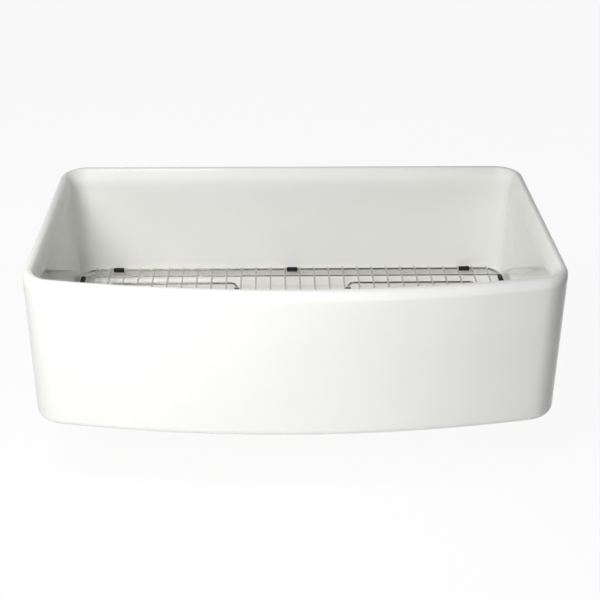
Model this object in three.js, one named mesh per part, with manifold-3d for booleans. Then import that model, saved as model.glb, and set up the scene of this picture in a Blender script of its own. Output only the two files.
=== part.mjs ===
// Farmhouse apron front kitchen sink: a bowed, bull-nosed fireclay basin with a welded wire
// grid standing in the bowl and a basket strainer drain under it.
// Millimetres, +X to the right seen from the front, +Y to the back, +Z up.
// The origin is on the flat underside, in line with the front ends of the two sides.

import * as THREE from "three";
import { mergeVertices } from "three/addons/utils/BufferGeometryUtils.js";
import Module from "manifold-3d";

const wasm = await Module();
wasm.setup();

// ---- Driving dimensions ----

const FIT_GAP = 0.3; // clearance between pieces that touch

// Basin
const SINK_WIDTH = 838; // 33 in
const SINK_DEPTH = 508; // 20 in, with the bow
const SINK_HEIGHT = 254; // 10 in
const BOW = 45.5; // how far the apron swells forward of the sides
const REAR_CORNER_RADIUS = 47;
const FRONT_CORNER_RADIUS = 53;
const RIM_WALL = 20.5; // wall at the rim, rounded over as a full bullnose
const FOOT_WALL = 22; // wall above the cove: the bowl tapers by the difference
const APRON_EXTRA = 8.5; // the apron is this much thicker than the other walls
const FOOT_FILLET = 12;
const COVE_RADIUS = 22; // inside, between wall and floor
const FLOOR_EDGE_Z = 24;
const FLOOR_CENTRE_Z = 20.5; // the floor falls to the drain
const BACK_Y = SINK_DEPTH - BOW;

// Drain, on its own axis
const DRAIN_Y = 229;
const BORE_RADIUS = 46; // takes a 3-1/2 in strainer
const RECESS_RADIUS = 59;
const RECESS_FLARE = 2;
const SEAT_Z = 17;
const WASHER_SEAT_RADIUS = 66; // ground flat, 1 mm into the underside
const WASHER_SEAT_Z = 1;
const FLANGE_RADIUS = 57;
const CUP_RADIUS = 42.5;
const CUP_WALL = 2;
const CUP_BOTTOM_Z = -46.5;
const OUTLET_RADIUS = 24; // 1-1/2 in pipe thread
const OUTLET_BORE = 18.5;
const OUTLET_END_Z = -66;
const GUIDE_CROSS_Z = -56; // underside of the cross that guides the basket's stem
const GUIDE_CROSS_HEIGHT = 3;
const GUIDE_CROSS_ARM = 4;
const HUB_RADIUS = 6.5;
const HUB_BORE = 4;
const GASKET_HEIGHT = 1.5;
const WASHER_HEIGHT = 3;
const FRICTION_RING_HEIGHT = 1.2;
const WASHER_RADIUS = 57;
const LOCK_NUT_RADIUS = 54;
const LOCK_NUT_HEIGHT = 12;
const LOCK_NUT_LUGS = 6;
const LUG_SIZE = 8;
const TAILPIECE_RADIUS = 19; // 1-1/2 in tube
const TAILPIECE_WALL = 1.2;
const TAILPIECE_FLANGE = 22.8;
const TAILPIECE_END_Z = -140;
const TAIL_WASHER_HEIGHT = 2.7;
const COUPLING_TOP_Z = -50;
const COUPLING_ACROSS_FLATS = 58;
const COUPLING_LIP = 3;

// Basket
const BASKET_WALL = 1.2;
const BASKET_FLOOR_Z = -37.4;
const BASKET_FLOOR_RADIUS = 27;
const BASKET_MOUTH_RADIUS = 37.6;
const BASKET_MOUTH_Z = 8;
const BASKET_LIP_RADIUS = 39.4;
const STEM_RADIUS = 3;
const STEM_END_Z = -58;
const STOPPER_HEIGHT = 9.5;
const BASKET_NUT_ACROSS_FLATS = 11;
const BASKET_NUT_HEIGHT = 4;
const KNOB_RADIUS = 11;
const KNOB_TOP_Z = 30.3;
const WALL_HOLES = 16; // in each row
const WALL_HOLE_ROWS = [-22, -6];
const FLOOR_HOLES = 8;
const FLOOR_HOLE_CIRCLE = 18;
const HOLE_RADIUS = 2;

// Grid, on its own centre
const GRID_Y = 229;
const GRID_HALF_WIDTH = 390.5; // to the middle of the rim wire
const GRID_HALF_DEPTH = 200;
const GRID_CORNER_RADIUS = 28;
const RIM_WIRE_RADIUS = 2.5;
const RIM_WIRE_Z = 56.2;
const BAR_RADIUS = 1.6; // bars from front to back, lying on the rim wire
const BAR_COUNT = 28;
const BAR_PITCH = 27.3;
const CROSS_RADIUS = 1.5; // wires from side to side, under the bars
const CROSS_ROWS = [-170, -85, 0, 85, 170];
const WELD_DEPTH = 0.4; // how far welded wires sink into each other
const RING_RADIUS = 64; // round the drain opening
const LEG_WIRE_RADIUS = 2.25;
const LEG_BEND_RADIUS = 10;
const LEG_OUTER_X = 340;
const LEG_INNER_X = 104;
const LEG_ROW = 143;
const BUMPER_RADIUS = 4.5;
const BUMPER_LENGTH = 20;
const BUMPER_X = 12 * BAR_PITCH; // midway between two bars
const BUMPER_SIDE_ROW = 158;
const SHOE_RADIUS = 5.5;
const SHOE_HEIGHT = 22;
const SHOE_SOLE = 3;

// Facets
const CORNER_STEPS = 7;
const BOW_STEPS = 22;
const FILLET_STEPS = 5;
const NOSE_STEPS = 8;
const ROUND_SIDES = 36;
const PIPE_SIDES = 24; // washers and basket too
const SMALL_SIDES = 12;
const WIRE_SIDES = 6;
const KNOB_SIDES = 20;
const HOLE_SIDES = 6;

// Colours, roughness and metalness
const GLAZE = [0xf1f0ec, 0.12, 0];
const STAINLESS = [0xc4c3bd, 0.28, 1];
const CAST_METAL = [0x9fa09c, 0.45, 1];
const BLACK_RUBBER = [0x1c1c1c, 0.8, 0];
const FIBRE = [0x6f2f26, 0.85, 0];
const GREY_FOAM = [0x8b8b88, 0.9, 0];

// ---- Geometry helpers ----

/** Welds a geometry's shared corners and turns it into a solid for joining and cutting. */
function toSolid(geometry) {
  const bare = geometry.clone();
  bare.deleteAttribute("normal");
  bare.deleteAttribute("uv");
  const welded = mergeVertices(bare, 1e-4);
  const corners = welded.index.array;
  const triangles = [];
  for (let i = 0; i < corners.length; i += 3) {
    const [a, b, c] = corners.slice(i, i + 3);
    if (a !== b && b !== c && c !== a) triangles.push(a, b, c);
  }
  return new wasm.Manifold(new wasm.Mesh({
    numProp: 3,
    vertProperties: new Float32Array(welded.attributes.position.array),
    triVerts: new Uint32Array(triangles),
  }));
}

function toGeometry(solid) {
  const mesh = solid.getMesh();
  const geometry = new THREE.BufferGeometry();
  geometry.setAttribute("position", new THREE.BufferAttribute(mesh.vertProperties, 3));
  geometry.setIndex(new THREE.BufferAttribute(mesh.triVerts, 1));
  return geometry;
}

function joinAll(solids) {
  return solids.reduce((whole, next) => whole.add(next));
}

/** Skin over rings with equal numbers of points; each end closes on a point, or onto the other. */
function skin(rings, firstTip, lastTip) {
  const count = rings[0].length;
  const points = rings.flat();
  const triangles = [];
  const looped = !firstTip;
  const bands = looped ? rings.length : rings.length - 1;
  for (let r = 0; r < bands; r++) {
    const low = r * count;
    const high = ((r + 1) % rings.length) * count;
    for (let i = 0; i < count; i++) {
      const next = (i + 1) % count;
      triangles.push(low + i, low + next, high + next);
      triangles.push(low + i, high + next, high + i);
    }
  }
  if (!looped) {
    const first = points.push(firstTip) - 1;
    const last = points.push(lastTip) - 1;
    const top = (rings.length - 1) * count;
    for (let i = 0; i < count; i++) {
      const next = (i + 1) % count;
      triangles.push(first, next, i);
      triangles.push(last, top + i, top + next);
    }
  }
  const geometry = new THREE.BufferGeometry().setFromPoints(points);
  geometry.setIndex(triangles);
  return geometry;
}

/** Round wire along points that lie in one plane with the given normal. */
function wire(points, planeNormal, radius, sides, looped = false) {
  const count = points.length;
  const rings = points.map((point, i) => {
    const before = looped ? points[(i + count - 1) % count] : points[Math.max(i - 1, 0)];
    const after = looped ? points[(i + 1) % count] : points[Math.min(i + 1, count - 1)];
    const along = after.clone().sub(before).normalize();
    const across = new THREE.Vector3().crossVectors(planeNormal, along);
    const ring = [];
    for (let s = 0; s < sides; s++) {
      const angle = (2 * Math.PI * (s + 0.5)) / sides;
      ring.push(point.clone()
        .addScaledVector(across, radius * Math.cos(angle))
        .addScaledVector(planeNormal, radius * Math.sin(angle)));
    }
    return ring;
  });
  if (looped) return skin(rings);
  return skin(rings, points[0].clone(), points[count - 1].clone());
}

/** Solid of revolution about Z from a profile of [radius, z] pairs, anticlockwise. */
function revolve(profile, sides) {
  const closed = profile[0][0] === 0 ? profile : [...profile, profile[0]];
  const points = closed.map(([radius, z]) => new THREE.Vector2(radius, z));
  return new THREE.LatheGeometry(points, sides).rotateX(Math.PI / 2);
}

/** Plain ring with a rectangular section. */
function ring(innerRadius, outerRadius, bottomZ, topZ, sides) {
  const profile = [
    [innerRadius, bottomZ],
    [outerRadius, bottomZ],
    [outerRadius, topZ],
    [innerRadius, topZ],
  ];
  return revolve(profile, sides);
}

function arc(centreX, centreY, radius, from, to, steps) {
  const points = [];
  for (let i = 0; i <= steps; i++) {
    const angle = from + ((to - from) * i) / steps;
    points.push([centreX + radius * Math.cos(angle), centreY + radius * Math.sin(angle)]);
  }
  return points;
}

// ---- Basin ----

/** Plan of the basin at a distance inside its outer face: bow, two front and two rear corners. */
function basinPlan(inset) {
  const setBack = APRON_EXTRA * Math.min(inset / RIM_WALL, 1);
  const halfWidth = SINK_WIDTH / 2;
  const bowRadius = (halfWidth ** 2 + BOW ** 2) / (2 * BOW);
  const bowCentreY = bowRadius - BOW + setBack;
  const frontX = halfWidth - FRONT_CORNER_RADIUS;
  const frontY = bowCentreY - Math.sqrt((bowRadius - FRONT_CORNER_RADIUS) ** 2 - frontX ** 2);
  const meet = Math.atan2(frontY - bowCentreY, frontX);
  const rearX = halfWidth - REAR_CORNER_RADIUS;
  const rearY = BACK_Y - REAR_CORNER_RADIUS;
  const front = FRONT_CORNER_RADIUS - inset;
  const rear = REAR_CORNER_RADIUS - inset;
  return [
    ...arc(0, bowCentreY, bowRadius - inset, -Math.PI - meet, meet, BOW_STEPS),
    ...arc(frontX, frontY, front, meet, 0, CORNER_STEPS).slice(1),
    ...arc(rearX, rearY, rear, 0, Math.PI / 2, CORNER_STEPS),
    ...arc(-rearX, rearY, rear, Math.PI / 2, Math.PI, CORNER_STEPS),
    ...arc(-frontX, frontY, front, Math.PI, Math.PI - meet, CORNER_STEPS).slice(0, -1),
  ];
}

/** Wall section from the underside, over the rim, to the bowl's floor: [inset, z] pairs. */
function wallSection() {
  const noseRadius = RIM_WALL / 2;
  const noseZ = SINK_HEIGHT - noseRadius;
  const quarter = Math.PI / 2;
  return [
    ...arc(FOOT_FILLET, FOOT_FILLET, FOOT_FILLET, -quarter, -2 * quarter, FILLET_STEPS),
    ...arc(noseRadius, noseZ, noseRadius, 2 * quarter, 0, NOSE_STEPS),
    ...arc(FOOT_WALL + COVE_RADIUS, FLOOR_EDGE_Z + COVE_RADIUS, COVE_RADIUS,
      -2 * quarter, -quarter, FILLET_STEPS),
  ];
}

function basin() {
  const rings = wallSection().map(([inset, z]) =>
    basinPlan(inset).map(([x, y]) => new THREE.Vector3(x, y, z)));
  const underside = new THREE.Vector3(0, DRAIN_Y, 0);
  const floor = new THREE.Vector3(0, DRAIN_Y, FLOOR_CENTRE_Z);
  const body = toSolid(skin(rings, underside, floor));
  const drainCut = revolve([
    [0, -FOOT_FILLET],
    [WASHER_SEAT_RADIUS, -FOOT_FILLET],
    [WASHER_SEAT_RADIUS, WASHER_SEAT_Z],
    [BORE_RADIUS, WASHER_SEAT_Z],
    [BORE_RADIUS, SEAT_Z],
    [RECESS_RADIUS, SEAT_Z],
    [RECESS_RADIUS + RECESS_FLARE, FLOOR_EDGE_Z],
    [0, FLOOR_EDGE_Z],
  ], ROUND_SIDES).translate(0, DRAIN_Y, 0);
  return toGeometry(body.subtract(toSolid(drainCut)));
}

// ---- Drain: every piece is round the drain's own axis ----

function strainerBody() {
  const inner = CUP_RADIUS - CUP_WALL;
  const floorZ = CUP_BOTTOM_Z + CUP_WALL;
  const flangeZ = SEAT_Z + GASKET_HEIGHT + 2 * FIT_GAP;
  return revolve([
    [OUTLET_BORE, OUTLET_END_Z],
    [OUTLET_RADIUS, OUTLET_END_Z],
    [OUTLET_RADIUS, CUP_BOTTOM_Z],
    [CUP_RADIUS - 4, CUP_BOTTOM_Z],
    [CUP_RADIUS, CUP_BOTTOM_Z + 4],
    [CUP_RADIUS, flangeZ],
    [FLANGE_RADIUS - 0.5, flangeZ],
    [FLANGE_RADIUS, flangeZ + 0.6],
    [FLANGE_RADIUS - 2, flangeZ + 1.7],
    [FLANGE_RADIUS - 7, flangeZ + 2.3],
    [inner + 4, flangeZ + 1.8],
    [inner + 1, flangeZ - 0.5],
    [inner, flangeZ - 4],
    [inner, floorZ + 3],
    [inner - 3, floorZ],
    [OUTLET_BORE + 3.5, floorZ],
    [OUTLET_BORE, floorZ - 3],
  ], ROUND_SIDES);
}

/** Cross welded into the outlet; the hole in its hub guides the basket's stem. */
function strainerCross() {
  const topZ = GUIDE_CROSS_Z + GUIDE_CROSS_HEIGHT;
  const middleZ = GUIDE_CROSS_Z + GUIDE_CROSS_HEIGHT / 2;
  const length = 2 * (OUTLET_BORE - 0.5);
  const armX = new THREE.BoxGeometry(length, GUIDE_CROSS_ARM, GUIDE_CROSS_HEIGHT).translate(0, 0, middleZ);
  const armY = new THREE.BoxGeometry(GUIDE_CROSS_ARM, length, GUIDE_CROSS_HEIGHT).translate(0, 0, middleZ);
  const hub = revolve([
    [0, GUIDE_CROSS_Z],
    [HUB_RADIUS, GUIDE_CROSS_Z],
    [HUB_RADIUS, topZ],
    [0, topZ],
  ], SMALL_SIDES);
  const stemHole = revolve([
    [0, GUIDE_CROSS_Z - 1],
    [HUB_BORE, GUIDE_CROSS_Z - 1],
    [HUB_BORE, topZ + 1],
    [0, topZ + 1],
  ], SMALL_SIDES);
  return toGeometry(joinAll([armX, armY, hub].map(toSolid)).subtract(toSolid(stemHole)));
}

function strainerGasket() {
  const bottomZ = SEAT_Z + FIT_GAP;
  return ring(BORE_RADIUS + 1, FLANGE_RADIUS - 1, bottomZ, bottomZ + GASKET_HEIGHT, PIPE_SIDES);
}

function underWasher(topZ, height) {
  return ring(CUP_RADIUS + 0.5, WASHER_RADIUS, topZ - height, topZ, PIPE_SIDES);
}

function lockNut(topZ) {
  const bottomZ = topZ - LOCK_NUT_HEIGHT;
  const body = ring(CUP_RADIUS + 0.5, LOCK_NUT_RADIUS, bottomZ, topZ, ROUND_SIDES);
  const pieces = [toSolid(body)];
  for (let i = 0; i < LOCK_NUT_LUGS; i++) {
    const lug = new THREE.BoxGeometry(LUG_SIZE, LUG_SIZE, LOCK_NUT_HEIGHT)
      .translate(LOCK_NUT_RADIUS, 0, topZ - LOCK_NUT_HEIGHT / 2)
      .rotateZ((2 * Math.PI * i) / LOCK_NUT_LUGS);
    pieces.push(toSolid(lug));
  }
  return toGeometry(joinAll(pieces));
}

function tailpieceWasher() {
  const topZ = OUTLET_END_Z - FIT_GAP;
  return ring(OUTLET_BORE, OUTLET_RADIUS - 0.8, topZ - TAIL_WASHER_HEIGHT, topZ, PIPE_SIDES);
}

const TAILPIECE_TOP_Z = OUTLET_END_Z - 2 * FIT_GAP - TAIL_WASHER_HEIGHT;
const TAILPIECE_FLANGE_Z = TAILPIECE_TOP_Z - 1.5;

function tailpiece() {
  const bore = TAILPIECE_RADIUS - TAILPIECE_WALL;
  return revolve([
    [bore, TAILPIECE_END_Z],
    [TAILPIECE_RADIUS, TAILPIECE_END_Z],
    [TAILPIECE_RADIUS, TAILPIECE_FLANGE_Z],
    [TAILPIECE_FLANGE, TAILPIECE_FLANGE_Z],
    [TAILPIECE_FLANGE, TAILPIECE_TOP_Z],
    [bore, TAILPIECE_TOP_Z],
  ], PIPE_SIDES);
}

/** Six-sided nut with a bore of the given profile. */
function hexNut(acrossFlats, bottomZ, topZ, boreProfile) {
  const radius = acrossFlats / Math.sqrt(3);
  const height = topZ - bottomZ;
  const hex = new THREE.CylinderGeometry(radius, radius, height, 6)
    .rotateX(Math.PI / 2)
    .translate(0, 0, bottomZ + height / 2);
  const bore = revolve(boreProfile, PIPE_SIDES);
  return toGeometry(toSolid(hex).subtract(toSolid(bore)));
}

function couplingNut() {
  const lipZ = TAILPIECE_FLANGE_Z - FIT_GAP;
  const bottomZ = lipZ - COUPLING_LIP;
  return hexNut(COUPLING_ACROSS_FLATS, bottomZ, COUPLING_TOP_Z, [
    [0, bottomZ - 1],
    [TAILPIECE_RADIUS + 0.4, bottomZ - 1],
    [TAILPIECE_RADIUS + 0.4, lipZ],
    [OUTLET_RADIUS + 0.4, lipZ],
    [OUTLET_RADIUS + 0.4, COUPLING_TOP_Z + 1],
    [0, COUPLING_TOP_Z + 1],
  ]);
}

// ---- Basket ----

function basketCup() {
  const hole = STEM_RADIUS + 0.4;
  const cup = revolve([
    [hole, BASKET_FLOOR_Z],
    [BASKET_FLOOR_RADIUS, BASKET_FLOOR_Z],
    [BASKET_FLOOR_RADIUS + 3.5, BASKET_FLOOR_Z + 3],
    [BASKET_MOUTH_RADIUS, BASKET_MOUTH_Z],
    [BASKET_LIP_RADIUS, BASKET_MOUTH_Z + 1.5],
    [BASKET_LIP_RADIUS, BASKET_MOUTH_Z + 2.7],
    [BASKET_MOUTH_RADIUS - 0.6, BASKET_MOUTH_Z + 2.7],
    [BASKET_MOUTH_RADIUS - 1.4, BASKET_MOUTH_Z + 0.6],
    [BASKET_FLOOR_RADIUS + 2.3, BASKET_FLOOR_Z + 3.6],
    [BASKET_FLOOR_RADIUS - 0.5, BASKET_FLOOR_Z + BASKET_WALL],
    [hole, BASKET_FLOOR_Z + BASKET_WALL],
  ], PIPE_SIDES);
  const drills = [];
  WALL_HOLE_ROWS.forEach((z, row) => {
    for (let i = 0; i < WALL_HOLES; i++) {
      const angle = (2 * Math.PI * (i + (row % 2) / 2)) / WALL_HOLES;
      const drill = new THREE.CylinderGeometry(HOLE_RADIUS, HOLE_RADIUS, 16, HOLE_SIDES)
        .rotateZ(Math.PI / 2)
        .translate(BASKET_FLOOR_RADIUS + 6, 0, z)
        .rotateZ(angle);
      drills.push(toSolid(drill));
    }
  });
  for (let i = 0; i < FLOOR_HOLES; i++) {
    const drill = new THREE.CylinderGeometry(HOLE_RADIUS, HOLE_RADIUS, 4, HOLE_SIDES)
      .rotateX(Math.PI / 2)
      .translate(FLOOR_HOLE_CIRCLE, 0, BASKET_FLOOR_Z)
      .rotateZ((2 * Math.PI * (i + 0.5)) / FLOOR_HOLES);
    drills.push(toSolid(drill));
  }
  return toGeometry(toSolid(cup).subtract(joinAll(drills)));
}

function basketStopper() {
  const hole = STEM_RADIUS + 0.4;
  const topZ = BASKET_FLOOR_Z - FIT_GAP;
  return revolve([
    [hole, topZ - STOPPER_HEIGHT],
    [17.2, topZ - STOPPER_HEIGHT],
    [21.2, topZ - 6.2],
    [25, topZ - 6.2],
    [26, topZ - 4.8],
    [24, topZ],
    [hole, topZ],
  ], PIPE_SIDES);
}

function basketNut() {
  const topZ = BASKET_FLOOR_Z - 2 * FIT_GAP - STOPPER_HEIGHT;
  const bottomZ = topZ - BASKET_NUT_HEIGHT;
  return hexNut(BASKET_NUT_ACROSS_FLATS, bottomZ, topZ, [
    [0, bottomZ - 1],
    [STEM_RADIUS + 0.4, bottomZ - 1],
    [STEM_RADIUS + 0.4, topZ + 1],
    [0, topZ + 1],
  ]);
}

function basketKnob() {
  const collarZ = BASKET_FLOOR_Z + BASKET_WALL + FIT_GAP;
  return revolve([
    [0, STEM_END_Z],
    [STEM_RADIUS - 0.8, STEM_END_Z],
    [STEM_RADIUS, STEM_END_Z + 1],
    [STEM_RADIUS, collarZ],
    [6.5, collarZ],
    [6.5, collarZ + 2.4],
    [STEM_RADIUS + 0.5, collarZ + 3.4],
    [STEM_RADIUS + 0.5, KNOB_TOP_Z - 16],
    [6, KNOB_TOP_Z - 12],
    [KNOB_RADIUS - 1, KNOB_TOP_Z - 8.5],
    [KNOB_RADIUS, KNOB_TOP_Z - 5.5],
    [KNOB_RADIUS - 1, KNOB_TOP_Z - 2.5],
    [KNOB_RADIUS - 5, KNOB_TOP_Z - 0.5],
    [0, KNOB_TOP_Z],
  ], KNOB_SIDES);
}

// ---- Grid: every piece is round the grid's own centre, at its real height ----

const UP = new THREE.Vector3(0, 0, 1);
const RIGHT = new THREE.Vector3(1, 0, 0);
const BACK = new THREE.Vector3(0, 1, 0);
const BAR_Z = RIM_WIRE_Z + RIM_WIRE_RADIUS + FIT_GAP + BAR_RADIUS;

function gridRimWire() {
  const x = GRID_HALF_WIDTH - GRID_CORNER_RADIUS;
  const y = GRID_HALF_DEPTH - GRID_CORNER_RADIUS;
  const quarter = Math.PI / 2;
  const corners = [[x, y], [-x, y], [-x, -y], [x, -y]];
  const path = corners.flatMap(([cornerX, cornerY], i) =>
    arc(cornerX, cornerY, GRID_CORNER_RADIUS, i * quarter, (i + 1) * quarter, CORNER_STEPS));
  const points = path.map(([px, py]) => new THREE.Vector3(px, py, RIM_WIRE_Z));
  return wire(points, UP, RIM_WIRE_RADIUS, WIRE_SIDES, true);
}

function gridDrainRing() {
  return new THREE.TorusGeometry(RING_RADIUS, RIM_WIRE_RADIUS, WIRE_SIDES, ROUND_SIDES)
    .translate(0, 0, RIM_WIRE_Z);
}

/** Bars and cross wires, welded where they cross. A wire that meets the ring is cut there. */
function gridMesh() {
  const crossZ = BAR_Z - BAR_RADIUS - CROSS_RADIUS + WELD_DEPTH;
  const solids = [];
  const addWire = (from, to, radius) =>
    solids.push(toSolid(wire([from, to], UP, radius, WIRE_SIDES)));
  for (let i = 0; i < BAR_COUNT; i++) {
    const x = (i - (BAR_COUNT - 1) / 2) * BAR_PITCH;
    const back = new THREE.Vector3(x, GRID_HALF_DEPTH, BAR_Z);
    const front = new THREE.Vector3(x, -GRID_HALF_DEPTH, BAR_Z);
    if (Math.abs(x) < RING_RADIUS) {
      const stop = Math.sqrt(RING_RADIUS ** 2 - x ** 2);
      addWire(new THREE.Vector3(x, stop, BAR_Z), back, BAR_RADIUS);
      addWire(front, new THREE.Vector3(x, -stop, BAR_Z), BAR_RADIUS);
    } else {
      addWire(front, back, BAR_RADIUS);
    }
  }
  const crossEnd = GRID_HALF_WIDTH - RIM_WIRE_RADIUS - FIT_GAP;
  const ringSide = RING_RADIUS + RIM_WIRE_RADIUS + FIT_GAP;
  for (const y of CROSS_ROWS) {
    const right = new THREE.Vector3(crossEnd, y, crossZ);
    const left = new THREE.Vector3(-crossEnd, y, crossZ);
    if (Math.abs(y) < RING_RADIUS) {
      addWire(left, new THREE.Vector3(-ringSide, y, crossZ), CROSS_RADIUS);
      addWire(new THREE.Vector3(ringSide, y, crossZ), right, CROSS_RADIUS);
    } else {
      addWire(left, right, CROSS_RADIUS);
    }
  }
  return toGeometry(joinAll(solids));
}

const LEG_WIRE_Z = BAR_Z - BAR_RADIUS - FIT_GAP - LEG_WIRE_RADIUS;
const SHOE_BOTTOM_Z = FLOOR_EDGE_Z + FIT_GAP;

/** Wire bent down at both ends into two legs. */
function gridLegWire() {
  const half = (LEG_OUTER_X - LEG_INNER_X) / 2;
  const footZ = SHOE_BOTTOM_Z + SHOE_SOLE + FIT_GAP;
  const bendX = half - LEG_BEND_RADIUS;
  const bendZ = LEG_WIRE_Z - LEG_BEND_RADIUS;
  const quarter = Math.PI / 2;
  const path = [
    [half, footZ],
    ...arc(bendX, bendZ, LEG_BEND_RADIUS, 0, quarter, FILLET_STEPS),
    ...arc(-bendX, bendZ, LEG_BEND_RADIUS, quarter, 2 * quarter, FILLET_STEPS),
    [-half, footZ],
  ];
  const points = path.map(([x, z]) => new THREE.Vector3(x, 0, z));
  return wire(points, BACK, LEG_WIRE_RADIUS, WIRE_SIDES);
}

function gridBumper() {
  const half = BUMPER_LENGTH / 2;
  return ring(RIM_WIRE_RADIUS + FIT_GAP, BUMPER_RADIUS, -half, half, SMALL_SIDES);
}

function gridShoe() {
  const bore = LEG_WIRE_RADIUS + FIT_GAP;
  const topZ = SHOE_BOTTOM_Z + SHOE_HEIGHT;
  return revolve([
    [0, SHOE_BOTTOM_Z],
    [SHOE_RADIUS - 1, SHOE_BOTTOM_Z],
    [SHOE_RADIUS, SHOE_BOTTOM_Z + 1],
    [SHOE_RADIUS - 0.8, topZ],
    [bore, topZ],
    [bore, SHOE_BOTTOM_Z + SHOE_SOLE],
    [0, SHOE_BOTTOM_Z + SHOE_SOLE],
  ], SMALL_SIDES);
}

// ---- Assembly ----

function place(group, name, geometry, [color, roughness, metalness], position, rotation) {
  const material = new THREE.MeshStandardMaterial({ color, roughness, metalness });
  const mesh = new THREE.Mesh(geometry, material);
  mesh.name = name;
  if (position) mesh.position.set(...position);
  if (rotation) mesh.rotation.set(...rotation);
  group.add(mesh);
}

const sink = new THREE.Group();
place(sink, "basin", basin(), GLAZE);

const drain = new THREE.Group();
drain.position.y = DRAIN_Y;
sink.add(drain);
const rubberTopZ = WASHER_SEAT_Z - FIT_GAP;
const frictionTopZ = rubberTopZ - WASHER_HEIGHT - FIT_GAP;
const lockNutTopZ = frictionTopZ - FRICTION_RING_HEIGHT - FIT_GAP;
place(drain, "strainer_body", strainerBody(), STAINLESS);
place(drain, "strainer_cross", strainerCross(), STAINLESS);
place(drain, "strainer_gasket", strainerGasket(), GREY_FOAM);
place(drain, "rubber_washer", underWasher(rubberTopZ, WASHER_HEIGHT), BLACK_RUBBER);
place(drain, "friction_ring", underWasher(frictionTopZ, FRICTION_RING_HEIGHT), FIBRE);
place(drain, "lock_nut", lockNut(lockNutTopZ), CAST_METAL);
place(drain, "tailpiece_washer", tailpieceWasher(), BLACK_RUBBER);
place(drain, "tailpiece", tailpiece(), STAINLESS);
place(drain, "coupling_nut", couplingNut(), CAST_METAL);
place(drain, "basket_cup", basketCup(), STAINLESS);
place(drain, "basket_knob", basketKnob(), STAINLESS);
place(drain, "basket_stopper", basketStopper(), BLACK_RUBBER);
place(drain, "basket_nut", basketNut(), STAINLESS);

const grid = new THREE.Group();
grid.position.y = GRID_Y;
sink.add(grid);
place(grid, "grid_rim_wire", gridRimWire(), STAINLESS);
place(grid, "grid_mesh", gridMesh(), STAINLESS);
place(grid, "grid_drain_ring", gridDrainRing(), STAINLESS);
const legX = (LEG_OUTER_X + LEG_INNER_X) / 2;
for (const [end, y] of [["rear", LEG_ROW], ["front", -LEG_ROW]]) {
  for (const [side, sign] of [["left", -1], ["right", 1]]) {
    place(grid, `leg_wire_${end}_${side}`, gridLegWire(), STAINLESS, [sign * legX, y, 0]);
    for (const [spot, x] of [["outer", LEG_OUTER_X], ["inner", LEG_INNER_X]]) {
      place(grid, `shoe_${end}_${side}_${spot}`, gridShoe(), BLACK_RUBBER, [sign * x, y, 0]);
    }
    place(grid, `bumper_${side}_${end}`, gridBumper(), BLACK_RUBBER,
      [sign * GRID_HALF_WIDTH, Math.sign(y) * BUMPER_SIDE_ROW, RIM_WIRE_Z],
      [Math.PI / 2, 0, 0]);
  }
  for (const [spot, x] of [["left", -BUMPER_X], ["middle", 0], ["right", BUMPER_X]]) {
    place(grid, `bumper_${end}_${spot}`, gridBumper(), BLACK_RUBBER,
      [x, Math.sign(y) * GRID_HALF_DEPTH, RIM_WIRE_Z],
      [0, Math.PI / 2, 0]);
  }
}

export default sink;
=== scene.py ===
"""Looks of the farmhouse apron front sink, in Blender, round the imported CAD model.

Shapes are written in millimetres in the frame of the part: +X right, +Y back, +Z up, with the
origin on the sink's underside. They are scaled to metres when a mesh is made.
"""

import math

import bpy
from mathutils import Matrix, Vector

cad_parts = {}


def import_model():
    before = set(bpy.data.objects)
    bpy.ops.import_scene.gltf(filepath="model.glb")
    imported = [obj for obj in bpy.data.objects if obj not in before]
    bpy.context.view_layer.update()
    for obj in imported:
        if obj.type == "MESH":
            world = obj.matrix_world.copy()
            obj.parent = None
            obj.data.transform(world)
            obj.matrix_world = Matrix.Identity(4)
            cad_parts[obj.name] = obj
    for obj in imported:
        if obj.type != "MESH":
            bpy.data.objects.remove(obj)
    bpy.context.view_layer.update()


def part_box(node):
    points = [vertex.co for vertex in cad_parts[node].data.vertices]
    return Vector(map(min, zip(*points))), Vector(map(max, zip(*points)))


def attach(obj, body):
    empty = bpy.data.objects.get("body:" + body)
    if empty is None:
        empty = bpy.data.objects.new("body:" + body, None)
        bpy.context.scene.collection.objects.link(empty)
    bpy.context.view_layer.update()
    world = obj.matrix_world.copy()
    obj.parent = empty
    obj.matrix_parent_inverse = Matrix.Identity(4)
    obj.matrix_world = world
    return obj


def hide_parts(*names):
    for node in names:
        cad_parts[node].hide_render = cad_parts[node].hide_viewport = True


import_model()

MM = 0.001


# ---- Sizes shared by several pieces, mm ----

def node_box(node):
    """Lowest and highest corner of a CAD node in millimetres."""
    low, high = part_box(node)
    return [value / MM for value in low], [value / MM for value in high]


basin_low, basin_high = node_box("basin")
HALF_WIDTH = basin_high[0]
BACK_Y = basin_high[1]
BOW = -basin_low[1]
HEIGHT = basin_high[2]
FIT_GAP = 0.3  # room between pieces that fit together

flange_low, flange_high = node_box("strainer_body")
DRAIN_Y = (flange_low[1] + flange_high[1]) / 2
OUTLET_END_Z = flange_low[2]
tail_low, tail_high = node_box("tailpiece")
TAIL_END_Z = tail_low[2]
TAIL_TOP_Z = tail_high[2]

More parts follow.
